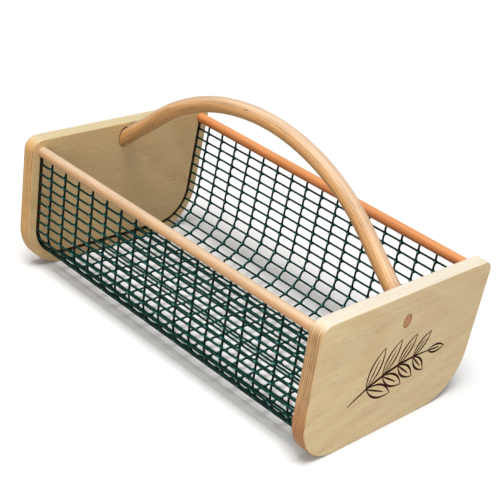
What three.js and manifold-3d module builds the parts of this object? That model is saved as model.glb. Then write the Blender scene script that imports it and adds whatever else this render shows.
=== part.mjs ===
// Garden hod: a harvest basket of welded wire sheet, bent to a U and let into grooves in two wooden
// end panels, with a dowel rail along each top edge and a bent wooden rod as its handle.
// X runs along the basket, Y across it and Z up. The origin is on the ground under the middle.

import * as THREE from 'three';
import { mergeGeometries, mergeVertices } from 'three/addons/utils/BufferGeometryUtils.js';
import Module from 'manifold-3d';

const wasm = await Module();
wasm.setup();

// Driving dimensions, in millimetres: end panels
const panelThickness = 17.5;
const panelHeight = 175;
const panelTopWidth = 284;
const panelBottomWidth = 271;
const panelTopRadius = 15;
const panelBottomRadius = 60;
const panelEdgeEase = 1.2;

// Welded wire sheet: hoop wires cross the basket on the inside, long wires run along it outside
const wireWidth = 2.25;
const hoopPitch = 25.4;
const hoopCount = 19;
const longWirePitch = 12.7;
const sheetInset = 13.5;
const hoopOverhang = 0.5;
const grooveDepth = 7;

// Rails
const railDiameter = 12.7;
const railHeight = 160;
const railSocketDepth = 11;
const topWireBelowRail = 3.15;

// Handle: heights are those of the rod's centre line, at the crown and at the panels' inner faces
const handleDiameter = 19;
const handleCrownHeight = 269;
const handleEntryHeight = 155;
const handleEntryAngle = THREE.MathUtils.degToRad(41.5);
const handleSeatDepth = 9;
const tenonDiameter = 12.7;

// Clearances between pieces
const fitGap = 0.3;
const grooveGap = 0.4;
const splitGap = 0.3;

// Facets and the overlap that joins or cuts cleanly
const cornerSegments = 5;
const railSides = 20;
const handleSides = 16;
const handleArcSteps = 20;
const overlap = 2;
const mergeTolerance = 1e-3;

// Places worked out along the basket
const sheetLength = (hoopCount - 1) * hoopPitch + wireWidth;
const innerFaceX = sheetLength / 2 + fitGap - grooveDepth;
const outerFaceX = innerFaceX + panelThickness;

// The sheet follows the panel's outline at a fixed inset: floor, bend and leaning wall
const lean = Math.atan2((panelTopWidth - panelBottomWidth) / 2, panelHeight);
const bendTurn = Math.PI / 2 - lean;
const bendRadius = panelBottomRadius - sheetInset;
const bendCentreY = sideDistanceToY(panelBottomRadius, panelBottomRadius);
const bendLength = bendRadius * bendTurn;
const wallFootZ = panelBottomRadius - bendRadius * Math.sin(lean);
const railY = sideDistanceToY(sheetInset, railHeight);
const wallToRail = (railHeight - wallFootZ) / Math.cos(lean);
const halfSheet = bendCentreY + bendLength + wallToRail - topWireBelowRail;

// Whole rows of cells fill the sheet between its two top wires
const rowCount = Math.round((2 * halfSheet) / longWirePitch);
const rowPitch = (2 * halfSheet) / rowCount;
const lastWallGap = Math.floor((halfSheet - bendCentreY - bendLength) / rowPitch - 0.5);
const firstFloorGap = Math.ceil((halfSheet - bendCentreY) / rowPitch - 0.5);
const bendRows = firstFloorGap - lastWallGap;

// Each bend is cut into strips of whole rows that are nearly flat
const bendStrips = ['upper', 'middle', 'lower'];

// How far from the middle a point lies that is this deep inside the panel's side edge at height z
function sideDistanceToY(depth, z) {
  return panelBottomWidth / 2 + (z * Math.sin(lean) - depth) / Math.cos(lean);
}

// Wires count down from the top edge; a gap is the middle of the cell below the wire of its number
function wirePlace(row) {
  return halfSheet - row * rowPitch;
}

function gapPlace(row) {
  return wirePlace(row + 0.5);
}

// Point of the sheet's middle line, as Y and Z, at a distance along it from the floor's middle
function sheetPoint(along) {
  const turn = THREE.MathUtils.clamp((along - bendCentreY) / bendRadius, 0, bendTurn);
  const floorRun = Math.min(along, bendCentreY);
  const wallRun = Math.max(along - bendCentreY - bendLength, 0);
  return new THREE.Vector2(
    floorRun + bendRadius * Math.sin(turn) + wallRun * Math.sin(lean),
    panelBottomRadius - bendRadius * Math.cos(turn) + wallRun * Math.cos(lean),
  );
}

// Closed three.js geometry to solid and back
function toSolid(geometry) {
  const bare = geometry.clone();
  bare.deleteAttribute('normal');
  bare.deleteAttribute('uv');
  const merged = mergeVertices(bare);
  const vertProperties = new Float32Array(merged.attributes.position.array);
  const triVerts = new Uint32Array(merged.index.array);
  return new wasm.Manifold(new wasm.Mesh({ numProp: 3, vertProperties, triVerts }));
}

function toGeometry(solid) {
  const { vertProperties, triVerts } = solid.getMesh();
  const geometry = new THREE.BufferGeometry();
  geometry.setAttribute('position', new THREE.BufferAttribute(vertProperties, 3));
  geometry.setIndex(new THREE.BufferAttribute(triVerts, 1));
  return geometry;
}

// Turns that lay a shape drawn in XY, and extruded along Z, along the basket or across it
const axisX = new THREE.Vector3(1, 0, 0);
const axisY = new THREE.Vector3(0, 1, 0);
const axisZ = new THREE.Vector3(0, 0, 1);
const alongX = new THREE.Matrix4().makeBasis(axisY, axisZ, axisX);
const alongY = new THREE.Matrix4().makeBasis(axisX.clone().negate(), axisZ, axisY);

function rectangle(left, bottom, right, top) {
  const shape = new THREE.Shape();
  shape.moveTo(left, bottom);
  shape.lineTo(right, bottom);
  shape.lineTo(right, top);
  shape.lineTo(left, top);
  return shape;
}

function prism(shape, from, to, turn) {
  const options = { depth: to - from, bevelEnabled: false, curveSegments: cornerSegments };
  return new THREE.ExtrudeGeometry(shape, options).translate(0, 0, from).applyMatrix4(turn);
}

function rod(start, end, diameter, sides) {
  const run = end.clone().sub(start);
  const geometry = new THREE.CylinderGeometry(diameter / 2, diameter / 2, run.length(), sides);
  const turn = new THREE.Quaternion().setFromUnitVectors(axisY, run.clone().normalize());
  const middle = start.clone().add(end).multiplyScalar(0.5);
  return geometry.applyQuaternion(turn).translate(middle.x, middle.y, middle.z);
}

// A flat piece of the sheet, with Y along the hoops and Z inward. Long wires lie below Z = 0 and
// hoops above it, and they are welded where their faces meet.
function weldedLattice(wirePlaces, from, to) {
  const half = wireWidth / 2;
  const wires = wirePlaces.map((place) =>
    prism(rectangle(place - half, -wireWidth, place + half, 0), -sheetLength / 2, sheetLength / 2, alongX),
  );
  for (let hoop = 0; hoop < hoopCount; hoop++) {
    const place = (hoop - (hoopCount - 1) / 2) * hoopPitch;
    wires.push(prism(rectangle(place - half, 0, place + half, wireWidth), from, to, alongY));
  }
  return toGeometry(wires.map(toSolid).reduce((sheet, wire) => sheet.add(wire)));
}

// Straight upper wall, placed on its leaning line
function meshWall() {
  const foot = gapPlace(lastWallGap);
  const places = [];
  for (let row = 0; row <= lastWallGap; row++) {
    places.push(wirePlace(row) - foot);
  }
  const top = halfSheet - foot + wireWidth / 2 + hoopOverhang;
  const start = sheetPoint(foot);
  return weldedLattice(places, splitGap / 2, top).rotateX(bendTurn).translate(0, start.x, start.y);
}

function meshFloor() {
  const edge = gapPlace(firstFloorGap);
  const places = [];
  for (let row = firstFloorGap + 1; wirePlace(row) > -edge; row++) {
    places.push(wirePlace(row));
  }
  return weldedLattice(places, splitGap / 2 - edge, edge - splitGap / 2).translate(0, 0, sheetInset);
}

// Slope of the chord that carries a long wire in the bend, and its two ends
function bendChord(row) {
  const low = sheetPoint(gapPlace(row));
  const high = sheetPoint(gapPlace(row - 1));
  return { low, high, slope: high.clone().sub(low).angle(), length: high.distanceTo(low) };
}

// One row of the bend: a flat lattice whose hoop ends are mitred to the next rows'. They are open
// where they join those, and closed, with the split's gap, at the top and bottom of a strip.
function bendRow(row, isTop, isBottom) {
  const chord = bendChord(row);
  const end = chord.length / 2;
  const mitreTop = Math.tan((bendChord(row - 1).slope - chord.slope) / 2);
  const mitreBottom = Math.tan((chord.slope - bendChord(row + 1).slope) / 2);
  const geometry = weldedLattice([0], -end, end);
  const { position } = geometry.attributes;
  const corners = Array.from(geometry.index.array);
  const atTop = (corner) => position.getY(corner) > end - wireWidth;
  const atBottom = (corner) => position.getY(corner) < wireWidth - end;
  const kept = [];
  for (let first = 0; first < corners.length; first += 3) {
    const triangle = corners.slice(first, first + 3);
    const joinsAbove = !isTop && triangle.every(atTop);
    const joinsBelow = !isBottom && triangle.every(atBottom);
    if (!joinsAbove && !joinsBelow) {
      kept.push(...triangle);
    }
  }
  for (let corner = 0; corner < position.count; corner++) {
    const inward = position.getZ(corner);
    if (atTop(corner)) {
      position.setY(corner, end - inward * mitreTop - (isTop ? splitGap / 2 : 0));
    } else if (atBottom(corner)) {
      position.setY(corner, inward * mitreBottom - end + (isBottom ? splitGap / 2 : 0));
    }
  }
  geometry.setIndex(kept);
  const middle = chord.low.clone().lerp(chord.high, 0.5);
  return geometry.rotateX(chord.slope).translate(0, middle.x, middle.y);
}

function meshBend(strip) {
  const first = lastWallGap + 1 + Math.round((strip * bendRows) / bendStrips.length);
  const last = lastWallGap + Math.round(((strip + 1) * bendRows) / bendStrips.length);
  const rows = [];
  for (let row = first; row <= last; row++) {
    rows.push(bendRow(row, row === first, row === last));
  }
  return mergeVertices(mergeGeometries(rows), mergeTolerance);
}

// Panel outline: straight foot, leaning sides, wide lower corners and small upper ones
function panelOutline() {
  const topZ = panelHeight - panelTopRadius;
  const topY = sideDistanceToY(panelTopRadius, topZ);
  const quarter = Math.PI / 2;
  const shape = new THREE.Shape();
  shape.absarc(bendCentreY, panelBottomRadius, panelBottomRadius, -quarter, -lean);
  shape.absarc(topY, topZ, panelTopRadius, -lean, quarter);
  shape.absarc(-topY, topZ, panelTopRadius, quarter, Math.PI + lean);
  shape.absarc(-bendCentreY, panelBottomRadius, panelBottomRadius, Math.PI + lean, 3 * quarter);
  return shape;
}

// U-shaped groove for the end of the sheet, open at the top into the rail sockets. Its inner side
// leaves room for the hoops, which cut the bend's corners from row to row.
function grooveOutline() {
  const cornerCut = bendRadius * (1 - Math.cos(rowPitch / bendRadius / 2));
  const outerReach = wireWidth + grooveGap;
  const innerReach = outerReach + cornerCut;
  const quarter = Math.PI / 2;
  const top = sheetPoint(halfSheet + wireWidth / 2 + hoopOverhang + grooveGap);
  const outward = new THREE.Vector2(Math.cos(lean), -Math.sin(lean));
  const outside = top.clone().addScaledVector(outward, outerReach);
  const inside = top.clone().addScaledVector(outward, -innerReach);
  const shape = new THREE.Shape();
  shape.moveTo(inside.x, inside.y);
  shape.lineTo(outside.x, outside.y);
  shape.absarc(bendCentreY, panelBottomRadius, bendRadius + outerReach, -lean, -quarter, true);
  shape.absarc(-bendCentreY, panelBottomRadius, bendRadius + outerReach, 3 * quarter, Math.PI + lean, true);
  shape.lineTo(-outside.x, outside.y);
  shape.lineTo(-inside.x, inside.y);
  shape.absarc(-bendCentreY, panelBottomRadius, bendRadius - innerReach, Math.PI + lean, 3 * quarter);
  shape.absarc(bendCentreY, panelBottomRadius, bendRadius - innerReach, -quarter, -lean);
  return shape;
}

// Point on the handle's straight end, at a depth along its axis past the panel's inner face
function handleAxisPoint(depth) {
  const x = innerFaceX + depth * Math.cos(handleEntryAngle);
  const z = handleEntryHeight - depth * Math.sin(handleEntryAngle);
  return new THREE.Vector3(x, 0, z);
}

const throughDepth = panelThickness / Math.cos(handleEntryAngle) + tenonDiameter;

function endPanel() {
  const options = {
    depth: panelThickness - 2 * panelEdgeEase,
    curveSegments: cornerSegments,
    bevelSize: panelEdgeEase,
    bevelThickness: panelEdgeEase,
    bevelOffset: -panelEdgeEase,
    bevelSegments: 1,
  };
  const board = new THREE.ExtrudeGeometry(panelOutline(), options);
  board.translate(0, 0, innerFaceX + panelEdgeEase).applyMatrix4(alongX);
  const mouthX = innerFaceX - overlap;
  const cuts = [prism(grooveOutline(), mouthX, innerFaceX + grooveDepth, alongX)];
  for (const y of [-railY, railY]) {
    const mouth = new THREE.Vector3(mouthX, y, railHeight);
    const bottom = new THREE.Vector3(innerFaceX + railSocketDepth, y, railHeight);
    cuts.push(rod(mouth, bottom, railDiameter + 2 * fitGap, railSides));
  }
  const before = handleAxisPoint(-handleDiameter);
  const seat = handleAxisPoint(handleSeatDepth + fitGap);
  cuts.push(rod(before, seat, handleDiameter + 2 * fitGap, handleSides));
  cuts.push(rod(before, handleAxisPoint(throughDepth), tenonDiameter + 2 * fitGap, handleSides));
  return toGeometry(cuts.map(toSolid).reduce((panel, cut) => panel.subtract(cut), toSolid(board)));
}

// Dowel with a kerf along its underside for the sheet's top edge
function rail() {
  const endX = innerFaceX + railSocketDepth - fitGap;
  const start = new THREE.Vector3(-endX, 0, 0);
  const dowel = rod(start, start.clone().negate(), railDiameter, railSides);
  const kerfTop = wireWidth / 2 + hoopOverhang + grooveGap - topWireBelowRail;
  const reach = wireWidth + grooveGap;
  const kerf = rectangle(-reach, -railDiameter, reach, kerfTop);
  const slot = prism(kerf, -endX - overlap, endX + overlap, alongX).rotateX(-lean);
  return toGeometry(toSolid(dowel).subtract(toSolid(slot))).translate(0, railY, railHeight);
}

// Centre line of the handle: straight ends rising from the panels into one circular arc. Each straight
// end is one step of the sweep, and the arc has the rest.
const handleSteps = handleArcSteps + 2;

class HandleLine extends THREE.Curve {
  constructor() {
    super();
    const rise = handleCrownHeight - handleEntryHeight;
    const slack = innerFaceX * Math.tan(handleEntryAngle) - rise;
    const radius = (slack * Math.cos(handleEntryAngle)) / (1 - Math.cos(handleEntryAngle));
    const end = handleAxisPoint(handleSeatDepth);
    const centreZ = handleCrownHeight - radius;
    const from = Math.PI / 2 + handleEntryAngle;
    const to = Math.PI / 2 - handleEntryAngle;
    this.path = new THREE.Path();
    this.path.moveTo(-end.x, end.z);
    this.path.lineTo(radius * Math.cos(from), centreZ + radius * Math.sin(from));
    this.path.absarc(0, centreZ, radius, from, to, true);
    this.path.lineTo(end.x, end.z);
  }

  getUtoTmapping(u) {
    return u;
  }

  getPoint(t, target = new THREE.Vector3()) {
    const [rise, arc, fall] = this.path.curves;
    const step = t * handleSteps;
    let point = arc.getPoint((step - 1) / handleArcSteps);
    if (step < 1) {
      point = rise.getPoint(step);
    } else if (step > handleSteps - 1) {
      point = fall.getPoint(step - handleSteps + 1);
    }
    return target.set(point.x, 0, point.y);
  }
}

// Bent rod whose ends are turned down to tenons, which pass through the panels and are cut flush
function handle() {
  const section = new THREE.Shape().absarc(0, 0, handleDiameter / 2, 0, 2 * Math.PI);
  const options = {
    extrudePath: new HandleLine(),
    steps: handleSteps,
    curveSegments: handleSides / 2,
    bevelEnabled: false,
  };
  const start = handleAxisPoint(handleSeatDepth - overlap);
  const tenon = rod(start, handleAxisPoint(throughDepth), tenonDiameter, handleSides);
  const otherTenon = tenon.clone().rotateZ(Math.PI);
  const bent = toSolid(new THREE.ExtrudeGeometry(section, options));
  const between = new THREE.BoxGeometry(2 * outerFaceX, 2 * handleDiameter, 4 * handleCrownHeight);
  return toGeometry(bent.add(toSolid(tenon)).add(toSolid(otherTenon)).intersect(toSolid(between)));
}

function piece(name, geometry, finish) {
  const mesh = new THREE.Mesh(geometry, new THREE.MeshStandardMaterial(finish));
  mesh.name = name;
  return mesh;
}

const panelFinish = { color: 0xd8c29a, roughness: 0.6, metalness: 0 };
const railFinish = { color: 0xd9b48a, roughness: 0.55, metalness: 0 };
const handleFinish = { color: 0xcf9f6b, roughness: 0.5, metalness: 0 };
const meshFinish = { color: 0x0b4a3d, roughness: 0.3, metalness: 0 };

// The basket is the same turned end for end, so each half is one group turned about Z
const hod = new THREE.Group();
hod.add(piece('handle', handle(), handleFinish));
hod.add(piece('mesh_floor', meshFloor(), meshFinish));

const halves = [
  { end: 'right', side: 'back', turn: 0 },
  { end: 'left', side: 'front', turn: Math.PI },
];
for (const { end, side, turn } of halves) {
  const half = new THREE.Group();
  half.rotation.z = turn;
  half.add(piece(`end_panel_${end}`, endPanel(), panelFinish));
  half.add(piece(`rail_${side}`, rail(), railFinish));
  half.add(piece(`mesh_wall_${side}`, meshWall(), meshFinish));
  bendStrips.forEach((name, strip) => half.add(piece(`mesh_bend_${name}_${side}`, meshBend(strip), meshFinish)));
  hod.add(half);
}

export default hod;
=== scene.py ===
"""Looks of the garden hod: planed boards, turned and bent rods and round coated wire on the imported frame.

Lengths are in millimetres until a mesh is made, which is in metres in the frame of the CAD.
"""
import math

import bmesh
import bpy
import numpy as np
from mathutils import Matrix, Vector


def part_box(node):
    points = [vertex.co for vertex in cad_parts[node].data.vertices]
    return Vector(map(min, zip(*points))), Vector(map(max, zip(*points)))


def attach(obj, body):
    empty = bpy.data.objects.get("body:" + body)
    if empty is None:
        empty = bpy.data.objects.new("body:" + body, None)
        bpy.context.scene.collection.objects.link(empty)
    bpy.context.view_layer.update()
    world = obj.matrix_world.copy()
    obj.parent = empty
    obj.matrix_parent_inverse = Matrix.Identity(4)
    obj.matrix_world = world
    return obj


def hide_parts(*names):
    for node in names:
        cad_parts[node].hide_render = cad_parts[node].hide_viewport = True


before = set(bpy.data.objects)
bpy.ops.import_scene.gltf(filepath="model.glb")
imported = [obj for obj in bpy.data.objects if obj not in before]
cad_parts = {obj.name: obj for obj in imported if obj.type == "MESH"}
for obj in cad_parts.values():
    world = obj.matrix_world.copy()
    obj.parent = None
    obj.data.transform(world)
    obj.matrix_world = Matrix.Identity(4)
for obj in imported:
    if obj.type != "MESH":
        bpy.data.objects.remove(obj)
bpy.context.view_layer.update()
scene = bpy.context.scene
rng = np.random.default_rng(11)
MM = 0.001
quarter_turn = math.pi / 2
full_turn = 2 * math.pi

# End panels
panel_top_width = 284
panel_bottom_width = 271
panel_top_radius = 15
panel_bottom_radius = 60
panel_ease = 1.5
panel_ease_steps = 5
panel_corner_steps = 40
cutter_reach = 1
# Faces of the groove, sockets and holes take a dark wood as painted shade
shaded_cut_faces = 1
burnt_faces = 2

# Wire sheet: hoops cross the basket inside, long wires run along it outside
wire_diameter = 2.55
wire_overlap = 0.4
wire_sides = 10
hoop_pitch = 25.4
hoop_count = 19
hoop_stations = (-2.4, 0, 2.4)
long_wire_count = 40
long_wire_stations = (-3, -1.2, 0, 1.2, 3)
sheet_inset = 13.5
sheet_gap = 0.2
sheet_rise = 1.6
hoop_overhang = 1.5
groove_depth = 7
weld_swell = 0.18
weld_reach = 1.6
crown_reach = 1.1
crown_focus = 3
web_fillet = 4.2
web_fillet_steps = 3
web_levels = ((-0.7, 0.3), (0, 1), (0.7, 0.3))

# Rails and handle
rail_diameter = 12.7
rail_socket_depth = 11
rail_sides = 48
rail_stations = 60
top_wire_below_rail = 3.15
kerf_top = -1.25
socket_gap = 0.2
handle_diameter = 19
handle_entry_height = 155
handle_entry_angle = math.radians(41.5)
handle_seat_depth = 9
handle_sides = 48
handle_arc_stations = 60
handle_leg_stations = 24
shoulder_start = 0.8
shoulder_rounding = ((0.2, 0.4), (0, 1))
tenon_diameter = 12.7
tenon_end_rings = (0.4, 0.75, 1)
tenon_gap = 0.25
seat_gap = 0.35
worn_seat_gap = 0.8
flush_tolerance = 0.01

# Small waves along wires and rods: the height of each, and the way along it for one radian
hoop_waves = ((0.2, 33), (0.12, 14))
long_wire_waves = ((0.18, 41), (0.1, 17))
rail_waves = ((0.12, 61), (0.12, 47))
handle_waves = ((0.1, 38), (0.08, 23))

# Leaf sprig burnt into the right panel's outer face, in Y and Z
sprig_start = (-72, 56)
sprig_end = (54, 84)
sprig_bow = 10
sprig_line = 2.9
sprig_depth = 0.35
sprig_depth_spread = 0.3
stem_line = 1.4 * sprig_line
stem_steps = 40
line_steps = 16
line_end_share = 0.45
leaf_pairs = 4
first_leaf_share = 0.22
leaf_length = 48
leaf_size_at_foot = 1.15
leaf_size_loss = 0.5
leaf_spread = math.radians(46)
leaf_fullness = 0.165
leaf_crossing = 0.3
midrib_share = 0.72
midrib_line = 0.8 * sprig_line

# Shading of the meshes
crease_angle = math.radians(35)
wire_crease_angle = math.radians(50)
flat_face_weight = 90
# Painted light on upper sides: the share that faces looking level still take
top_light_bias = 0.1
board_end_power = 1.3
rail_end_power = 2

# Camera, fitted to the photograph in its 500 by 500 pixel frame
camera_azimuth = math.radians(40.41)
camera_elevation = math.radians(27.55)
camera_roll = math.radians(10.46)
camera_target = Vector((12.67, -2.0, 111.34)) * MM
camera_distance = 1459.6 * MM
focal_pixels = 1265.4
frame_pixels = 500
sensor_width = 36

# Floor and lights, in metres
floor_size = 24
floor_colour = (0.75, 0.75, 0.745, 1)
floor_bounce_colour = (0.38, 0.38, 0.37, 1)
floor_roughness = 0.9
floor_gloss = 0.1
sky_colour = (1.0, 0.985, 0.96, 1)
sky_strength = 0.4
backdrop_colour = (1, 1, 1, 1)
key_place = (0.12, -0.3, 1.0)
key_aim = (0, 0, 0)
key_angle = math.radians(30)
key_strength = 3.3
fill_place = (0.68, -0.88, 0.45)
fill_aim = (0, 0, 0.1)
fill_size = 0.6
fill_power = 4.0

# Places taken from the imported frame
panel_low, panel_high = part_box("end_panel_right")
rail_low, rail_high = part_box("rail_back")
handle_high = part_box("handle")[1]
inner_face = panel_low.x / MM
outer_face = panel_high.x / MM
panel_height = panel_high.z / MM
rail_y = (rail_low.y + rail_high.y) / 2 / MM
rail_z = rail_high.z / MM - rail_diameter / 2
rail_end = rail_high.x / MM
handle_crown = handle_high.z / MM - handle_diameter / 2
sheet_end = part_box("mesh_floor")[1].x / MM

# The sheet follows the panels' outline at a fixed inset
lean = math.atan2((panel_top_width - panel_bottom_width) / 2, panel_height)
bend_turn = quarter_turn - lean
bend_radius = panel_bottom_radius - sheet_inset


def side_to_middle(depth, z):
    """Distance from the middle of a point this deep inside a panel's side edge at height z."""
    return panel_bottom_width / 2 + (z * math.sin(lean) - depth) / math.cos(lean)


bend_y = side_to_middle(panel_bottom_radius, panel_bottom_radius)
bend_length = bend_radius * bend_turn
wall_foot_z = panel_bottom_radius - bend_radius * math.sin(lean)
half_sheet = bend_y + bend_length + (rail_z - wall_foot_z) / math.cos(lean) - top_wire_below_rail
half_thickness = wire_diameter - wire_overlap / 2
groove_half_width = half_thickness + sheet_gap
wire_lift = (wire_diameter - wire_overlap) / 2
hoop_places = (np.arange(hoop_count) - (hoop_count - 1) / 2) * hoop_pitch
long_places = np.linspace(-half_sheet, half_sheet, long_wire_count)


def turns_round(sides):
    return np.linspace(0, full_turn, sides, endpoint=False)


wire_turns = turns_round(wire_sides)
handle_turns = turns_round(handle_sides)


# Mesh helpers

def loft(rings):
    """Closed body through rings of points: its points and faces."""
    count, sides = rings.shape[:2]
    points = rings.reshape(-1, 3)
    faces = []
    for ring in range(count - 1):
        low, high = ring * sides, (ring + 1) * sides
        for side in range(sides):
            following = (side + 1) % sides
            faces.append((low + side, low + following, high + following, high + side))
    faces.append(tuple(range(sides))[::-1])
    faces.append(tuple(range((count - 1) * sides, count * sides)))
    return points, faces


def joined(bodies):
    """Several bodies as the points and faces of one mesh."""
    points, faces, first = [], [], 0
    for body_points, body_faces in bodies:
        points.append(body_points)
        faces.extend(tuple(first + corner for corner in face) for face in body_faces)
        first += len(body_points)
    return np.concatenate(points), faces


def new_object(name, body):
    """Object in metres from a body's points and faces."""
    points, faces = body
    mesh = bpy.data.meshes.new(name)
    mesh.from_pydata([tuple(point) for point in points * MM], [], faces)
    made = bpy.data.objects.new(name, mesh)
    scene.collection.objects.link(made)
    return made


def outward(made):
    """Turns every face of a mesh of closed bodies outwards."""
    work = bmesh.new()
    work.from_mesh(made.data)
    bmesh.ops.recalc_face_normals(work, faces=work.faces)
    work.to_mesh(made.data)
    work.free()
    return made


def cut_away(made, bodies, material, overlapping=False):
    """Cuts bodies out of a piece; the faces that this leaves take one of the piece's materials."""
    cutters = [outward(new_object("cutter", body)) for body in bodies]
    for cutter in cutters:
        for _ in made.data.materials:
            cutter.data.materials.append(None)
        cutter.data.polygons.foreach_set("material_index", [material] * len(cutter.data.polygons))
        modifier = made.modifiers.new("cut", "BOOLEAN")
        modifier.operation = "DIFFERENCE"
        modifier.solver = "EXACT"
        modifier.use_self = overlapping
        modifier.object = cutter
    shape = made.evaluated_get(bpy.context.evaluated_depsgraph_get())
    made.data = bpy.data.meshes.new_from_object(shape)
    made.modifiers.clear()
    for cutter in cutters:
        bpy.data.objects.remove(cutter)


def smooth(made, angle, weighted=False):
    """Smooth shading with edges sharper than an angle kept; weighted keeps flat faces looking flat."""
    made.data.polygons.foreach_set("use_smooth", [True] * len(made.data.polygons))
    made.data.set_sharp_from_angle(angle=angle)
    if weighted:
        modifier = made.modifiers.new("flat_faces", "WEIGHTED_NORMAL")
        modifier.keep_sharp = True
        modifier.weight = flat_face_weight


def places_of(made):
    places = np.zeros(len(made.data.vertices) * 3)
    made.data.vertices.foreach_get("co", places)
    return places.reshape(-1, 3) / MM


def of_faces(made, what):
    """A vector of every face, such as its normal or its center."""
    values = np.zeros(len(made.data.polygons) * 3)
    made.data.polygons.foreach_get(what, values)
    return values.reshape(-1, 3)


def set_amounts(made, name, amounts, domain="POINT"):
    attribute = made.data.attributes.new(name, "FLOAT", domain)
    attribute.data.foreach_set("value", np.ascontiguousarray(amounts, dtype=np.float32))


def set_grain(made, places):
    """Where each point lies in its own piece of wood, in millimetres: along the grain, then across it."""
    grain = made.data.attributes.new("grain", "FLOAT_VECTOR", "POINT")
    grain.data.foreach_set("vector", np.ascontiguousarray(places, dtype=np.float32).ravel())


def set_top_light_mask(made, domain="POINT"):
    """How far each point or face looks up, from 0 to 1: the mask for painted light on upper sides."""
    normals = made.data.vertex_normals if domain == "POINT" else made.data.polygon_normals
    looks = np.zeros(len(normals) * 3)
    normals.foreach_get("vector", looks)
    set_amounts(made, "painted_top_light", np.clip(looks[2::3] + top_light_bias, 0, 1), domain)


def set_end_grain(made, amounts):
    """How far each face shows the ends of the fibres, from 0 to 1."""
    set_amounts(made, "end_grain", amounts, "FACE")


def finish_piece(made, materials, nodes):
    """Gives a piece its materials, keeping each face's choice, and its place in the frame."""
    kept = [face.material_index for face in made.data.polygons]
    made.data.materials.clear()
    for material in materials:
        made.data.materials.append(material)
    made.data.polygons.foreach_set("material_index", kept)
    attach(made, "root")
    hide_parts(*nodes)


# Materials

def linear(red, green, blue):
    """Colour as the shader wants it, from the sRGB values of a picture."""
    def channel(value):
        value /= 255
        return value / 12.92 if value <= 0.04045 else ((value + 0.055) / 1.055) ** 2.4
    return (channel(red), channel(green), channel(blue), 1)


class Nodes:
    """Short calls for making and joining the nodes of one material."""

    def __init__(self, name):
        self.material = bpy.data.materials.new(name)
        self.material.use_nodes = True
        self.tree = self.material.node_tree
        self.shader = self.tree.nodes["Principled BSDF"]

    def add(self, kind, inputs=(), **settings):
        node = self.tree.nodes.new(kind)
        for key, value in settings.items():
            setattr(node, key, value)
        for key, value in dict(inputs).items():
            self.put(node.inputs[key], value)
        return node

    def put(self, socket, value):
        if isinstance(value, bpy.types.NodeSocket):
            self.tree.links.new(value, socket)
        else:
            socket.default_value = value

    def shade(self, name, value):
        """Sets or links one of the shader's own sockets."""
        self.put(self.shader.inputs[name], value)

    def attribute(self, name, output="Fac"):
        return self.add("ShaderNodeAttribute", attribute_name=name).outputs[output]

    def math(self, operation, *values):
        return self.add("ShaderNodeMath", enumerate(values), operation=operation).outputs[0]

    def vector(self, operation, *values):
        return self.add("ShaderNodeVectorMath", enumerate(values), operation=operation).outputs[0]

    def length(self, vector):
        return self.add("ShaderNodeVectorMath", {0: vector}, operation="LENGTH").outputs["Value"]

    def part(self, vector, axis):
        return self.add("ShaderNodeSeparateXYZ", {0: vector}).outputs[axis]

    def noise(self, place, scale, detail=2.0, roughness=0.5):
        stretched = self.vector("MULTIPLY", place, scale)
        inputs = {"Vector": stretched, "Scale": 1.0, "Detail": detail, "Roughness": roughness}
        return self.add("ShaderNodeTexNoise", inputs).outputs["Fac"]

    def rise(self, value, start, stop, low=0.0, high=1.0):
        """Goes from low to high as the value goes from start to stop."""
        inputs = {"Value": value, "From Min": start, "From Max": stop, "To Min": low, "To Max": high}
        return self.add("ShaderNodeMapRange", inputs).outputs["Result"]

    def ramp(self, value, stops):
        node = self.add("ShaderNodeValToRGB", {"Fac": value})
        elements = node.color_ramp.elements
        while len(elements) < len(stops):
            elements.new(0.5)
        for element, (position, level) in zip(elements, stops):
            element.position = position
            element.color = (level, level, level, 1)
        return node.outputs["Color"]

    def blend(self, factor, first, second, mode="MIX"):
        node = self.add("ShaderNodeMix", data_type="RGBA", blend_type=mode)
        self.put(node.inputs["Factor"], factor)
        self.put(node.inputs["A"], first)
        self.put(node.inputs["B"], second)
        return node.outputs["Result"]

    def toned(self, colour, noise, amount):
        """Colour made lighter and darker by a noise, by up to this share of itself either way."""
        tone = self.math("MULTIPLY_ADD", noise, 2 * amount, 1 - amount)
        return self.blend(1.0, colour, tone, "MULTIPLY")

    def bump(self, height, strength, depth):
        inputs = {"Height": height, "Strength": strength, "Distance": depth * MM}
        self.shade("Normal", self.add("ShaderNodeBump", inputs).outputs["Normal"])


# Noises in the wood, in steps per millimetre along the grain and the two ways across it
ring_drift_scale = (0.005, 0.014, 0.014)
ring_spacing_scale = (0.003, 0.006, 0.2)
ring_fade_scale = (0.012, 0.09, 0.09)
fibre_scale = (0.03, 1.3, 1.3)
cloud_scale = (0.006, 0.02, 0.02)
pore_patch_scale = (0.02, 0.06, 0.06)
spot_scale = (0.055, 0.2, 0.2)
pore_run = 0.09
streak_run = 0.02

# Patterns in the wood: what each starts and stops at, and where given its amounts there
late_wood_ramp = ((0, 0), (0.28, 0.1), (0.6, 0.8), (0.84, 1), (1, 0))
ring_tones = (0, 1, 0.45, 1.15)
ring_fading = (0.3, 0.62, 0.45, 1)
streak_range = (0.3, 0.7)
pore_range = (0.58, 0.7)
pore_patches = (0.4, 0.62, 0.2, 1)
spot_range = (0.68, 0.76)
# Painted shade low on the end grain: the heights where it starts and is full, and its shares
low_shade_heights = (90, 25, 0, 0.8)
# Painted light on upper sides: how far up they look, and less of it on end grain and on flecks
top_light_range = (0.35, 1, 0, 0.85)
top_light_on_ends = (0, 1, 1, 0.2)
top_light_on_flecks = (0.35, 1, 1, 0.4)
# Painted shade of the gap round the tenon's end: where it starts, how dark, and its streaks
rim_start = 0.78
rim_shade_strength = 0.9
rim_streaks = (0, 1, 1, 0.5)

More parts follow.
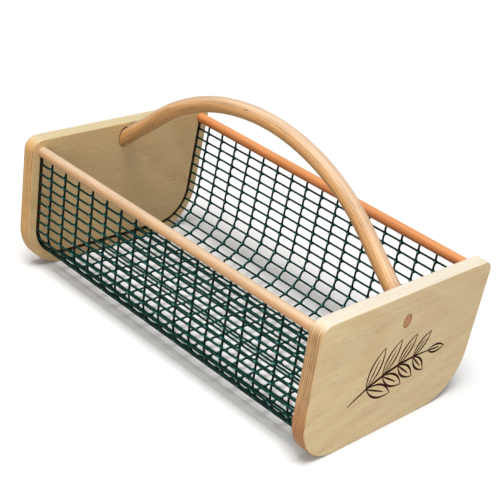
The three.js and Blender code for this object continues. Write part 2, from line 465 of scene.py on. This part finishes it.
# Strengths of the patterns in the wood
ring_wander = 1.6
grain_run_out = 0.03
end_ring_strength = 0.95
fibre_detail = 5
fibre_fineness = 0.62
fibre_tone = 0.2
cloud_tone = 0.06
fibre_roughness = 0.22
late_wood_roughness = -0.08
late_wood_relief = 0.35
pore_relief = -0.8
wood_bump = 0.3
wood_bump_depth = 0.15


def growth_rings(n, grain, across, ring_gap, pith):
    """Late wood of the rings round a pith, which leans a little along the grain: 0 to about 1."""
    drift = n.noise(grain, ring_drift_scale)
    spacing = n.noise(grain, ring_spacing_scale, detail=1)
    run_out = n.math("MULTIPLY", n.part(grain, "X"), grain_run_out)
    tilt = n.add("ShaderNodeCombineXYZ", {"Z": run_out}).outputs[0]
    from_pith = n.vector("SUBTRACT", n.vector("ADD", across, tilt), pith)
    wavy = n.math("MULTIPLY_ADD", drift, ring_wander * ring_gap, n.length(from_pith))
    wavy = n.math("MULTIPLY_ADD", spacing, ring_wander * ring_gap, wavy)
    count = n.math("DIVIDE", wavy, ring_gap)
    late = n.ramp(n.math("FRACT", count), late_wood_ramp)
    year = n.math("FLOOR", count)
    tone = n.add("ShaderNodeTexWhiteNoise", {"W": year}, noise_dimensions="1D").outputs["Value"]
    late = n.math("MULTIPLY", late, n.rise(tone, *ring_tones))
    return n.math("MULTIPLY", late, n.rise(n.noise(grain, ring_fade_scale), *ring_fading))


def pores_in_patches(n, grain, width):
    """Fine dark pores along the grain, thicker in some places than in others: 0 to 1."""
    pore = n.noise(grain, (pore_run, 1 / width, 1 / width))
    patch = n.noise(grain, pore_patch_scale, detail=1)
    return n.math("MULTIPLY", n.rise(pore, *pore_range), n.rise(patch, *pore_patches))


def wood(name, pale, ring, fleck, end_pale, end_ring, ring_gap, pith, ring_strength, fleck_strength,
         roughness, streaks=0.05, streak_width=2.6, pore_width=1.0, spots=0.0, rim=None, top_light_colour=None,
         low_shade=None, gloss=0.5):
    """Wood whose rings, fibres and pores lie in the piece itself, read from its grain attribute."""
    n = Nodes(name)
    grain = n.attribute("grain", "Vector")
    ends = n.attribute("end_grain")
    across = n.vector("MULTIPLY", grain, (0, 1, 1))
    late = growth_rings(n, grain, across, ring_gap, pith)
    pores = pores_in_patches(n, grain, pore_width)
    fibre = n.noise(grain, fibre_scale, fibre_detail, fibre_fineness)
    streak_scale = (streak_run / streak_width, 1 / streak_width, 1 / streak_width)
    streak = n.rise(n.noise(grain, streak_scale), *streak_range)
    cloud = n.noise(grain, cloud_scale, detail=1)

    early_colour = n.blend(ends, pale, end_pale)
    late_colour = n.blend(ends, ring, end_ring)
    strength = n.math("MULTIPLY_ADD", ends, end_ring_strength - ring_strength, ring_strength)
    colour = n.blend(n.math("MULTIPLY", late, strength), early_colour, late_colour)
    # End grain darker and more orange towards the bottom of the board: painted shade
    if low_shade:
        low_shaded = n.math("MULTIPLY", n.rise(n.part(grain, "Y"), *low_shade_heights), ends)
        colour = n.blend(low_shaded, colour, low_shade)
    flecks = n.math("MULTIPLY", pores, fleck_strength)
    # Upper sides take a paler, greyer colour with fewer flecks, less on end grain: painted light
    if top_light_colour:
        painted_top_light = n.attribute("painted_top_light")
        top_lit = n.math("MULTIPLY", n.rise(painted_top_light, *top_light_range), n.rise(ends, *top_light_on_ends))
        colour = n.blend(top_lit, colour, top_light_colour)
        flecks = n.math("MULTIPLY", flecks, n.rise(painted_top_light, *top_light_on_flecks))
    colour = n.blend(flecks, colour, fleck)
    if spots:
        spot = n.rise(n.noise(grain, spot_scale, detail=3), *spot_range)
        colour = n.blend(n.math("MULTIPLY", spot, spots), colour, fleck)
    # End grain darker in a ring at its rim: painted shade of the gap round the tenon
    if rim:
        rim_shade = n.math("MULTIPLY", n.rise(n.length(across), rim_start * rim, rim, 0, rim_shade_strength), ends)
        colour = n.blend(n.math("MULTIPLY", rim_shade, n.rise(streak, *rim_streaks)), colour, fleck)
    for pattern, amount in ((fibre, fibre_tone), (streak, streaks), (cloud, cloud_tone)):
        colour = n.toned(colour, pattern, amount)
    n.shade("Base Color", colour)

    rough = n.math("MULTIPLY_ADD", fibre, fibre_roughness, roughness - fibre_roughness / 2)
    n.shade("Roughness", n.math("MULTIPLY_ADD", late, late_wood_roughness, rough))
    n.shade("Specular IOR Level", gloss)
    relief = n.math("MULTIPLY_ADD", late, late_wood_relief, fibre)
    n.bump(n.math("MULTIPLY_ADD", pores, pore_relief, relief), wood_bump, wood_bump_depth)
    return n.material


# Coat of the wire: noises in steps per metre, then what each pattern starts and stops at and its amounts
coat_cloud_scale = (60, 60, 60)
coat_dip_scale = (700, 700, 700)
coat_scuff_scale = (1500, 1500, 1500)
scuff_range = (0.6, 0.75)
# Patchiness of the painted light on upper sides and of the painted glints on the weld crowns
coat_top_light_range = (0.3, 0.7, 0.6, 1)
crown_glint_range = (0.3, 0.7, 0.5, 0.9)
scuff_wear = 0.12
coat_roughness = 0.15
cloud_roughness = 0.14
scuff_roughness = 0.2
coat_gloss = 0.06
coat_bump = 0.25
coat_bump_depth = 0.2


def coated_wire(deep, pale, glint_and_wear):
    """Dipped vinyl over steel wire: glossy, with painted light on its upper sides, painted shade below,
    painted glints on the crowns of the welds, and scuffs.
    """
    n = Nodes("coated_wire")
    place = n.add("ShaderNodeTexCoord").outputs["Object"]
    cloud = n.noise(place, coat_cloud_scale, detail=3)
    scuff = n.rise(n.noise(place, coat_scuff_scale, detail=3), *scuff_range)
    # Upper sides take the pale green and lower sides the deep one, patchily: painted light and painted
    # shade
    painted_top_light = n.math("MULTIPLY", n.attribute("painted_top_light"), n.rise(cloud, *coat_top_light_range))
    # Crowns of the welds take the palest teal: painted glints
    crown = n.math("MULTIPLY", n.attribute("crown"), n.rise(cloud, *crown_glint_range))
    colour = n.blend(painted_top_light, deep, pale)
    colour = n.blend(n.math("MULTIPLY", scuff, scuff_wear), colour, glint_and_wear)
    n.shade("Base Color", n.blend(crown, colour, glint_and_wear))
    rough = n.math("MULTIPLY_ADD", cloud, cloud_roughness, coat_roughness)
    n.shade("Roughness", n.math("MULTIPLY_ADD", scuff, scuff_roughness, rough))
    n.shade("Specular IOR Level", coat_gloss)
    n.bump(n.noise(place, coat_dip_scale), coat_bump, coat_bump_depth)
    return n.material


# End panels

def arc(centre_y, centre_z, radius, start, stop, steps):
    angles = np.linspace(start, stop, steps + 1)
    return np.stack([centre_y + radius * np.cos(angles), centre_z + radius * np.sin(angles)], axis=1)


def panel_outline(inset):
    """Outline of a board at a distance inside its full outline, as Y and Z."""
    top_z = panel_height - panel_top_radius
    top_y = side_to_middle(panel_top_radius, top_z)
    foot = panel_bottom_radius - inset
    top = panel_top_radius - inset
    steps = panel_corner_steps
    return np.concatenate([
        arc(bend_y, panel_bottom_radius, foot, -quarter_turn, -lean, steps),
        arc(top_y, top_z, top, -lean, quarter_turn, steps // 2),
        arc(-top_y, top_z, top, quarter_turn, math.pi + lean, steps // 2),
        arc(-bend_y, panel_bottom_radius, foot, math.pi + lean, 3 * quarter_turn, steps),
    ])


def at_x(outline, x):
    return np.column_stack([np.full(len(outline), x), outline])


def board():
    """Right-hand board with every edge rounded over."""
    turns = np.linspace(0, quarter_turn, panel_ease_steps + 1)
    outlines = [panel_outline(panel_ease * (1 - math.sin(turn))) for turn in turns]
    depths = [panel_ease * (1 - math.cos(turn)) for turn in turns]
    inner = [at_x(outline, inner_face + depth) for outline, depth in zip(outlines, depths)]
    outer = [at_x(outline, outer_face - depth) for outline, depth in zip(outlines, depths)]
    return loft(np.array(inner + outer[::-1]))


def sheet_line(along):
    """Point of the sheet's middle line, its tangent and its inward normal, as Y and Z."""
    reach = np.abs(along)
    turn = np.clip((reach - bend_y) / bend_radius, 0, bend_turn)
    floor_run = np.minimum(reach, bend_y)
    wall_run = np.maximum(reach - bend_y - bend_length, 0)
    y = floor_run + bend_radius * np.sin(turn) + wall_run * math.sin(lean)
    z = panel_bottom_radius - bend_radius * np.cos(turn) + wall_run * math.cos(lean)
    side = np.where(along < 0, -1.0, 1.0)
    point = np.stack([side * y, z], axis=-1)
    tangent = np.stack([np.cos(turn), side * np.sin(turn)], axis=-1)
    normal = np.stack([-side * np.sin(turn), np.cos(turn)], axis=-1)
    return point, tangent, normal


def groove():
    """U-shaped cutter for the groove that holds the sheet's end."""
    ends = half_sheet + hoop_overhang
    bend = np.linspace(bend_y, bend_y + bend_length, panel_corner_steps)
    along = np.concatenate([[-ends], -bend[::-1], bend, [ends]])
    point, _, normal = sheet_line(along)
    outer = point - groove_half_width * normal
    inner = point + groove_half_width * normal
    outline = np.concatenate([outer, inner[::-1]])
    start, end = inner_face - cutter_reach, inner_face + groove_depth
    return loft(np.array([at_x(outline, start), at_x(outline, end)]))


def rod(start, end, radius, sides):
    """Straight round cutter between two points that have the same Y."""
    start, end = np.array(start), np.array(end)
    axis = (end - start) / np.linalg.norm(end - start)
    side = np.array([0, 1, 0])
    up = np.cross(axis, side)
    angles = turns_round(sides)
    ring = radius * (np.outer(np.cos(angles), side) + np.outer(np.sin(angles), up))
    return loft(np.array([start + ring, end + ring]))


def handle_axis(depth, aside=0, above=0):
    """Point of the handle's straight end this deep along its axis past the panel's inner face."""
    x = inner_face + depth * math.cos(handle_entry_angle)
    z = handle_entry_height - depth * math.sin(handle_entry_angle)
    return (x, aside, z + above)


def rail_socket(y):
    start = (inner_face - cutter_reach, y, rail_z)
    end = (inner_face + rail_socket_depth, y, rail_z)
    return rod(start, end, rail_diameter / 2 + socket_gap, rail_sides)


def handle_seat(gap, aside):
    """Hole for the handle's full thickness: it sits low in the hole, with its gap above."""
    start = handle_axis(-handle_diameter, aside, gap)
    end = handle_axis(handle_seat_depth + socket_gap, aside, gap)
    return rod(start, end, handle_diameter / 2 + gap, handle_sides)


def tenon_hole():
    through = (outer_face - inner_face) / math.cos(handle_entry_angle) + tenon_diameter
    radius = tenon_diameter / 2 + tenon_gap
    return rod(handle_axis(-handle_diameter), handle_axis(through), radius, handle_sides)


def square_to(direction):
    """Unit vector a quarter turn to the left of a direction."""
    return np.array([-direction[1], direction[0]]) / np.linalg.norm(direction)


def on_bow(start, chord, bow, share):
    """Point at a share of the way along a line that bows aside from its chord."""
    return start + share * chord + 4 * bow * share * (1 - share) * square_to(chord)


def bowed_line(start, end, bow, width, steps=line_steps):
    """Outline of a burnt line that bows between two points and thins towards both, as Y and Z."""
    share = np.linspace(0, 1, steps)[:, None]
    chord = np.subtract(end, start)
    middle = on_bow(start, chord, bow, share)
    thickness = line_end_share + (1 - line_end_share) * np.sin(math.pi * share)
    half = width / 2 * thickness * square_to(chord)
    return np.concatenate([middle - half, (middle + half)[::-1]])


def leaf(foot, direction, length):
    """Two bowed edges that cross at foot and tip, and a short midrib."""
    lines = [bowed_line(foot, foot + midrib_share * length * direction, 0, midrib_line)]
    for side in (-1, 1):
        start = foot - side * leaf_crossing * (square_to(direction) + direction)
        bow = side * leaf_fullness * length
        lines.append(bowed_line(start, start + length * direction, bow, sprig_line))
    return lines


def sprig():
    """Lines of a stem with pairs of leaves and one leaf at its tip."""
    start, end = np.array(sprig_start), np.array(sprig_end)
    chord = end - start
    lines = [bowed_line(start, end, sprig_bow, stem_line, stem_steps)]
    for share in np.linspace(first_leaf_share, 1, leaf_pairs + 1):
        foot = on_bow(start, chord, sprig_bow, share)
        along = chord + 4 * sprig_bow * (1 - 2 * share) * square_to(chord)
        heading = math.atan2(along[1], along[0])
        length = leaf_length * (leaf_size_at_foot - leaf_size_loss * share)
        spreads = (0,) if share == 1 else (-leaf_spread, leaf_spread)
        for spread in spreads:
            direction = np.array([math.cos(heading + spread), math.sin(heading + spread)])
            lines += leaf(foot, direction, length)
    return lines


def burnt(lines):
    """One cutter for shallow lines in the panel's outer face, each burnt to a depth of its own."""
    depths = sprig_depth * (1 + sprig_depth_spread * rng.permutation(len(lines)) / len(lines))
    return joined([
        loft(np.array([at_x(line, outer_face - depth), at_x(line, outer_face + cutter_reach + depth)]))
        for line, depth in zip(lines, depths)
    ])


def end_panel(name, node, turn, materials, gap, aside, lines=()):
    """Board with its groove, sockets and holes; its materials are for planed faces, for the faces of the
    cuts, darkened as painted shade, and for burnt faces.
    """
    made = outward(new_object(name, board()))
    for material in materials:
        made.data.materials.append(material)
    sockets = [rail_socket(rail_y), rail_socket(-rail_y)]
    cut_away(made, [groove(), *sockets, handle_seat(gap, aside), tenon_hole()], shaded_cut_faces)
    if lines:
        cut_away(made, [burnt(lines)], burnt_faces, overlapping=True)
    places = places_of(made)
    set_grain(made, np.column_stack([places[:, 1], places[:, 2], places[:, 0]]))
    set_end_grain(made, np.abs(of_faces(made, "normal")[:, 1]) ** board_end_power)
    set_top_light_mask(made, "FACE")
    made.data.transform(Matrix.Rotation(turn, 4, "Z"))
    smooth(made, crease_angle, weighted=True)
    finish_piece(made, materials, [node])


# Rails

def waves(places, shapes, phases):
    """Small waves along a wire or rod, one for each height and length with its phase."""
    return [height * np.sin(places / length + phase) for (height, length), phase in zip(shapes, phases)]


def rail_section(side):
    """Round section with a kerf in its underside, leaning with the sheet, as Y and Z from its centre."""
    radius = rail_diameter / 2
    gap = math.asin(groove_half_width / radius)
    angles = np.linspace(-quarter_turn + gap, 3 * quarter_turn - gap, rail_sides)
    circle = radius * np.column_stack([np.cos(angles), np.sin(angles)])
    kerf = np.array([[-groove_half_width, kerf_top], [groove_half_width, kerf_top]])
    turn = np.array([[math.cos(lean), -math.sin(lean)], [math.sin(lean), math.cos(lean)]])
    return np.concatenate([circle, kerf]) @ turn * [side, 1]


def rail(name, node, side, material):
    """Dowel with a kerf along its underside for the sheet's top edge."""
    section = rail_section(side)
    centre = np.array([0, side * rail_y, rail_z])
    phases = rng.uniform(0, full_turn, 2)
    rings = []
    for x in np.linspace(-rail_end, rail_end, rail_stations):
        drift = np.array(waves(x, rail_waves, phases)) * (1 - (x / rail_end) ** 2)
        rings.append(at_x(section + centre[1:] + drift, x))
    made = outward(new_object(name, loft(np.array(rings))))
    set_grain(made, places_of(made) - centre)
    set_end_grain(made, np.abs(of_faces(made, "normal")[:, 0]) ** rail_end_power)
    set_top_light_mask(made)
    smooth(made, crease_angle)
    finish_piece(made, [material], [node])


# Handle

def handle_line():
    """Way along the handle, centre in XZ, slope and radius at places from its crown to its right end."""
    rise = handle_crown - handle_entry_height
    slack = inner_face * math.tan(handle_entry_angle) - rise
    arc_radius = slack * math.cos(handle_entry_angle) / (1 - math.cos(handle_entry_angle))
    body = handle_diameter / 2
    rows = []
    for turn in np.linspace(0, handle_entry_angle, handle_arc_stations):
        x = arc_radius * math.sin(turn)
        z = handle_crown - arc_radius * (1 - math.cos(turn))
        rows.append((arc_radius * turn, x, z, turn, body))
    arc_way = arc_radius * handle_entry_angle
    arc_x = arc_radius * math.sin(handle_entry_angle)
    to_face = (inner_face - arc_x) / math.cos(handle_entry_angle)
    leg_depths = np.linspace(-to_face, handle_seat_depth - shoulder_start, handle_leg_stations)
    leg = [(depth, body) for depth in leg_depths[1:]]
    leg += [(handle_seat_depth - before, body - less) for before, less in shoulder_rounding]
    leg.append((handle_seat_depth, tenon_diameter / 2))
    for depth, radius in leg:
        x, _, z = handle_axis(depth)
        rows.append((arc_way + to_face + depth, x, z, handle_entry_angle, radius))
    return rows


def handle_ring(row, side, phases):
    """Ring of the handle at one of its places, and where its points lie in the wood."""
    way, x, z, turn, radius = row
    if radius > tenon_diameter / 2:
        lobes = (phases[0] + handle_turns, phases[1] + 2 * handle_turns)
        radius = radius + sum(waves(way, handle_waves, lobes))
    across, up = radius * np.cos(handle_turns), radius * np.sin(handle_turns)
    ring = np.column_stack([side * (x + math.sin(turn) * up), across, z + math.cos(turn) * up])
    return ring, np.column_stack([np.full(handle_sides, side * way), across, up])


def tenon_end(share, side, seat_way):
    """Ring in the tenon's end, cut flush with the panel's outer face, and its places in the wood."""
    radius = share * tenon_diameter / 2
    across, up = radius * np.cos(handle_turns), radius * np.sin(handle_turns)
    start_x, _, start_z = handle_axis(handle_seat_depth)
    run = (outer_face - start_x - up * math.sin(handle_entry_angle)) / math.cos(handle_entry_angle)
    z = start_z - run * math.sin(handle_entry_angle) + up * math.cos(handle_entry_angle)
    ring = np.column_stack([np.full(handle_sides, side * outer_face), across, z])
    return ring, np.column_stack([side * (seat_way + run), across, up])


def handle(material):
    """Bent rod from one flush tenon end to the other."""
    # Two waves take the first two draws; the other two keep the draws for the wires in their order
    phases = rng.uniform(0, full_turn, 4)
    rows = handle_line()
    seat_way = rows[-1][0]
    left_end = [tenon_end(share, -1, seat_way) for share in tenon_end_rings]
    left_half = [handle_ring(row, -1, phases) for row in rows[:0:-1]]
    right_half = [handle_ring(row, 1, phases) for row in rows]
    right_end = [tenon_end(share, 1, seat_way) for share in tenon_end_rings[::-1]]
    rings, grain = zip(*left_end, *left_half, *right_half, *right_end)
    made = new_object("handle_rod", loft(np.array(rings)))
    set_grain(made, np.concatenate(grain))
    set_end_grain(made, np.abs(of_faces(made, "center")[:, 0]) > (outer_face - flush_tolerance) * MM)
    outward(made)
    set_top_light_mask(made)
    smooth(made, crease_angle)
    finish_piece(made, [material], ["handle"])


# Wire sheet

def risen(x, along):
    """Where a long wire lies: the welded sheet's walls ride up a little between the panels."""
    share = np.clip((np.abs(along) - bend_y) / (half_sheet - bend_y), 0, 1)
    rise = sheet_rise * (1 - (x / sheet_end) ** 2) * np.sin(math.pi * share)
    return along + np.sign(along) * rise


def near_crossings(places, first, last, offsets):
    """Stations along a wire: a few round each crossing, and its two ends."""
    stations = (np.asarray(places)[:, None] + np.asarray(offsets)).ravel()
    inside = stations[(stations > first) & (stations < last)]
    return np.concatenate([[first], inside, [last]])


def swollen(stations, crossings, crown_turn):
    """Radius of a wire, thicker over a weld, and how far each point is on a weld's crown."""
    nearest = np.abs(stations[:, None] - np.asarray(crossings)[None, :]).min(axis=1)
    radius = wire_diameter / 2 * (1 + weld_swell * np.exp(-(nearest / weld_reach) ** 2))
    facing = np.clip(np.cos(wire_turns - crown_turn), 0, 1) ** crown_focus
    return radius, np.exp(-(nearest / crown_reach) ** 2)[:, None] * facing


def hoop(place, phases):
    """Rings of a wire across the basket, and how far their points are on a weld's crown."""
    top = half_sheet + hoop_overhang
    crossings = risen(place, long_places)
    stations = near_crossings(crossings, -top, top, hoop_stations)
    point, _, normal = sheet_line(stations)
    radius, crown = swollen(stations, crossings, quarter_turn)
    x = place + sum(waves(stations, hoop_waves, phases))
    centre = point + wire_lift * normal
    along_x = np.cos(wire_turns)[None, :] * radius[:, None]
    inward = np.sin(wire_turns)[None, :] * radius[:, None]
    yz = centre[:, None, :] + inward[:, :, None] * normal[:, None, :]
    return np.concatenate([(x[:, None] + along_x)[:, :, None], yz], axis=2), crown


def long_wire(place, phases):
    """Rings of a wire along the basket, and how far their points are on a weld's crown."""
    stations = near_crossings(hoop_places, -sheet_end, sheet_end, long_wire_stations)
    radius, crown = swollen(stations, hoop_places, -quarter_turn)
    drift = sum(waves(stations, long_wire_waves, phases))
    point, tangent, normal = sheet_line(risen(stations, place) + drift)
    centre = point - wire_lift * normal
    up = np.cos(wire_turns)[None, :, None] * radius[:, None, None] * tangent[:, None, :]
    inward = np.sin(wire_turns)[None, :, None] * radius[:, None, None] * normal[:, None, :]
    x = np.repeat(stations[:, None, None], wire_sides, axis=1)
    return np.concatenate([x, centre[:, None, :] + up + inward], axis=2), crown


def web_outline(fillet):
    """Cross whose four inner corners are filled by arcs, as distances along the two wires."""
    arm = math.sqrt((wire_diameter / 2) ** 2 - wire_lift ** 2)
    corner = arc(arm + fillet, arm + fillet, fillet, -quarter_turn, -math.pi, web_fillet_steps)
    outline = []
    for angle in np.arange(4) * quarter_turn:
        turn = np.array([[math.cos(angle), math.sin(angle)], [-math.sin(angle), math.cos(angle)]])
        outline.append(corner @ turn)
    return np.concatenate(outline)


def weld_web(x, along):
    """Vinyl that fills the corners where two wires cross."""
    point, tangent, normal = sheet_line(np.array(risen(x, along)))
    rings = []
    for level, share in web_levels:
        outline = web_outline(share * web_fillet)
        yz = point + level * normal + outline[:, 1:] * tangent
        rings.append(np.column_stack([x + outline[:, 0], yz]))
    return loft(np.array(rings))


def wire_sheet(material):
    """The whole sheet as one piece: hoops, long wires and the webs at their welds."""
    wires = [hoop(place, rng.uniform(0, full_turn, 2)) for place in hoop_places]
    wires += [long_wire(place, rng.uniform(0, full_turn, 2)) for place in long_places]
    bodies = [loft(rings) for rings, _ in wires]
    bodies += [weld_web(x, along) for x in hoop_places for along in long_places]
    made = outward(new_object("wire_sheet", joined(bodies)))
    crowns = np.zeros(len(made.data.vertices))
    on_wires = np.concatenate([crown.ravel() for _, crown in wires])
    crowns[:len(on_wires)] = on_wires
    # How far each point is on a weld's crown, where the coat takes painted glints
    set_amounts(made, "crown", crowns)
    set_top_light_mask(made)
    smooth(made, wire_crease_angle)
    nodes = [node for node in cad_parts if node.startswith("mesh_")]
    finish_piece(made, [material], sorted(nodes))


# Stage

def seen_directly(tree):
    """1 for rays from the camera, from gloss and through glass, 0 for light that bounces."""
    rays = tree.nodes.new("ShaderNodeLightPath")
    total = rays.outputs["Is Camera Ray"]
    for kind in ("Is Glossy Ray", "Is Transmission Ray"):
        either = tree.nodes.new("ShaderNodeMath")
        either.operation = "MAXIMUM"
        tree.links.new(total, either.inputs[0])
        tree.links.new(rays.outputs[kind], either.inputs[1])
        total = either.outputs[0]
    return total


def floor():
    corners = np.array([[-1, -1, 0], [1, -1, 0], [1, 1, 0], [-1, 1, 0]]) * floor_size / 2 / MM
    made = new_object("floor", (corners, [(0, 1, 2, 3)]))
    n = Nodes("floor")
    n.shade("Base Color", n.blend(seen_directly(n.tree), floor_bounce_colour, floor_colour))
    n.shade("Roughness", floor_roughness)
    n.shade("Specular IOR Level", floor_gloss)
    made.data.materials.append(n.material)


def studio_world():
    world = bpy.data.worlds.new("studio")
    scene.world = world
    world.use_nodes = True
    tree = world.node_tree
    tree.nodes.clear()
    light = tree.nodes.new("ShaderNodeBackground")
    light.inputs["Color"].default_value = sky_colour
    light.inputs["Strength"].default_value = sky_strength
    seen = tree.nodes.new("ShaderNodeBackground")
    seen.inputs["Color"].default_value = backdrop_colour
    mixed = tree.nodes.new("ShaderNodeMixShader")
    tree.links.new(seen_directly(tree), mixed.inputs[0])
    tree.links.new(light.outputs[0], mixed.inputs[1])
    tree.links.new(seen.outputs[0], mixed.inputs[2])
    out = tree.nodes.new("ShaderNodeOutputWorld")
    tree.links.new(mixed.outputs[0], out.inputs["Surface"])


def aimed(lamp, place, aim):
    """Puts a lamp at a place and points it at another."""
    made = bpy.data.objects.new(lamp.name, lamp)
    made.location = place
    made.rotation_mode = "QUATERNION"
    made.rotation_quaternion = (Vector(aim) - Vector(place)).to_track_quat("-Z", "Y")
    scene.collection.objects.link(made)


def key_light():
    """Wide soft sun from above, a little towards the front."""
    lamp = bpy.data.lights.new("key", "SUN")
    lamp.angle = key_angle
    lamp.energy = key_strength
    aimed(lamp, key_place, key_aim)


def fill_light():
    """Soft round lamp from about where the camera stands."""
    lamp = bpy.data.lights.new("fill", "AREA")
    lamp.shape = "DISK"
    lamp.size = fill_size
    lamp.energy = fill_power
    aimed(lamp, fill_place, fill_aim)


def photo_camera():
    az, el, roll = camera_azimuth, camera_elevation, camera_roll
    back = Vector((math.sin(az) * math.cos(el), -math.cos(az) * math.cos(el), math.sin(el)))
    level_right = Vector((math.cos(az), math.sin(az), 0))
    level_up = back.cross(level_right)
    right = level_right * math.cos(roll) + level_up * math.sin(roll)
    up = level_up * math.cos(roll) - level_right * math.sin(roll)
    data = bpy.data.cameras.new("camera")
    data.sensor_width = sensor_width
    data.lens = focal_pixels / frame_pixels * sensor_width
    made = bpy.data.objects.new("camera", data)
    turn = Matrix((right, up, back)).transposed().to_4x4()
    made.matrix_world = Matrix.Translation(camera_target + back * camera_distance) @ turn
    scene.collection.objects.link(made)
    scene.camera = made


# Colours of the wood and the coat

# The colour each wood takes on its upper sides is painted light
board_wood = wood(
    "panel_wood", pale=linear(221, 197, 152), ring=linear(200, 163, 109), fleck=linear(158, 100, 50),
    end_pale=linear(186, 145, 97), end_ring=linear(58, 20, 6),
    ring_gap=2.8, pith=(0, 120, -520), ring_strength=0.36, fleck_strength=0.55, roughness=0.6,
    # The last colour is painted shade low on the end grain
    pore_width=0.6, spots=0.3, top_light_colour=linear(206, 199, 184), low_shade=linear(160, 90, 22))
# Warmer, darker wood for the left board: partly its own colour, partly painted shade and warm bounced light
warm_board_wood = wood(
    "panel_wood_warm", pale=linear(212, 181, 131), ring=linear(191, 149, 95), fleck=linear(150, 92, 44),
    end_pale=linear(206, 161, 98), end_ring=linear(118, 70, 34),
    ring_gap=2.8, pith=(0, 140, -480), ring_strength=0.36, fleck_strength=0.55, roughness=0.6,
    pore_width=0.6, spots=0.3, top_light_colour=linear(189, 174, 137))
# Dark wood for the faces of the groove, sockets and holes: painted shade
shaded_cut_wood = wood(
    "panel_wood_shaded_cut", pale=linear(120, 84, 50), ring=linear(96, 62, 34), fleck=linear(60, 36, 18),
    end_pale=linear(84, 50, 26), end_ring=linear(56, 30, 14),
    ring_gap=2.4, pith=(0, 70, -520), ring_strength=0.35, fleck_strength=0.6, roughness=0.8)
pale_dowel_wood = wood(
    "rail_wood_front", pale=linear(188, 144, 99), ring=linear(167, 122, 78), fleck=linear(132, 90, 53),
    end_pale=linear(212, 170, 122), end_ring=linear(160, 106, 68),
    ring_gap=2.4, pith=(0, 14, -26), ring_strength=0.35, fleck_strength=0.5, roughness=0.55,
    streaks=0.1, streak_width=1.7, top_light_colour=linear(195, 171, 143))
warm_dowel_wood = wood(
    "rail_wood_back", pale=linear(190, 116, 62), ring=linear(164, 88, 42), fleck=linear(122, 62, 28),
    end_pale=linear(190, 118, 68), end_ring=linear(140, 78, 40),
    ring_gap=2.4, pith=(0, -18, -22), ring_strength=0.4, fleck_strength=0.5, roughness=0.55,
    streaks=0.12, streak_width=1.7, top_light_colour=linear(203, 136, 80))
rod_wood = wood(
    "handle_wood", pale=linear(196, 145, 90), ring=linear(162, 110, 63), fleck=linear(92, 55, 28),
    end_pale=linear(194, 136, 74), end_ring=linear(128, 80, 43),
    ring_gap=2.3, pith=(0, 22, -30), ring_strength=0.28, fleck_strength=0.55, roughness=0.55,
    # The rim is darkened as painted shade of the gap round the tenon
    streaks=0.3, streak_width=1.9, pore_width=0.8, spots=0.85, rim=tenon_diameter / 2,
    top_light_colour=linear(196, 170, 143))
burnt_wood = wood(
    "panel_wood_burnt", pale=linear(58, 28, 18), ring=linear(43, 20, 13), fleck=linear(26, 12, 8),
    end_pale=linear(56, 28, 18), end_ring=linear(38, 18, 11),
    ring_gap=2.4, pith=(0, 70, -520), ring_strength=0.4, fleck_strength=0.6, roughness=0.8, gloss=0.05)
# The coat's deep and pale greens are painted shade and painted light; its palest teal is painted glints and
# scuffed wear
green_coat = coated_wire(deep=linear(0, 12, 9), pale=linear(4, 63, 53), glint_and_wear=linear(124, 194, 192))

# Pieces

right_woods = (board_wood, shaded_cut_wood, burnt_wood)
left_woods = (warm_board_wood, shaded_cut_wood)
end_panel("end_board_right", "end_panel_right", turn=0, materials=right_woods,
          gap=seat_gap, aside=0, lines=sprig())
end_panel("end_board_left", "end_panel_left", turn=math.pi, materials=left_woods,
          gap=worn_seat_gap, aside=worn_seat_gap / 2)
rail("rail_dowel_back", "rail_back", side=1, material=warm_dowel_wood)
rail("rail_dowel_front", "rail_front", side=-1, material=pale_dowel_wood)
handle(rod_wood)
wire_sheet(green_coat)

floor()
studio_world()
key_light()
fill_light()
photo_camera()
scene.view_settings.view_transform = "Standard"
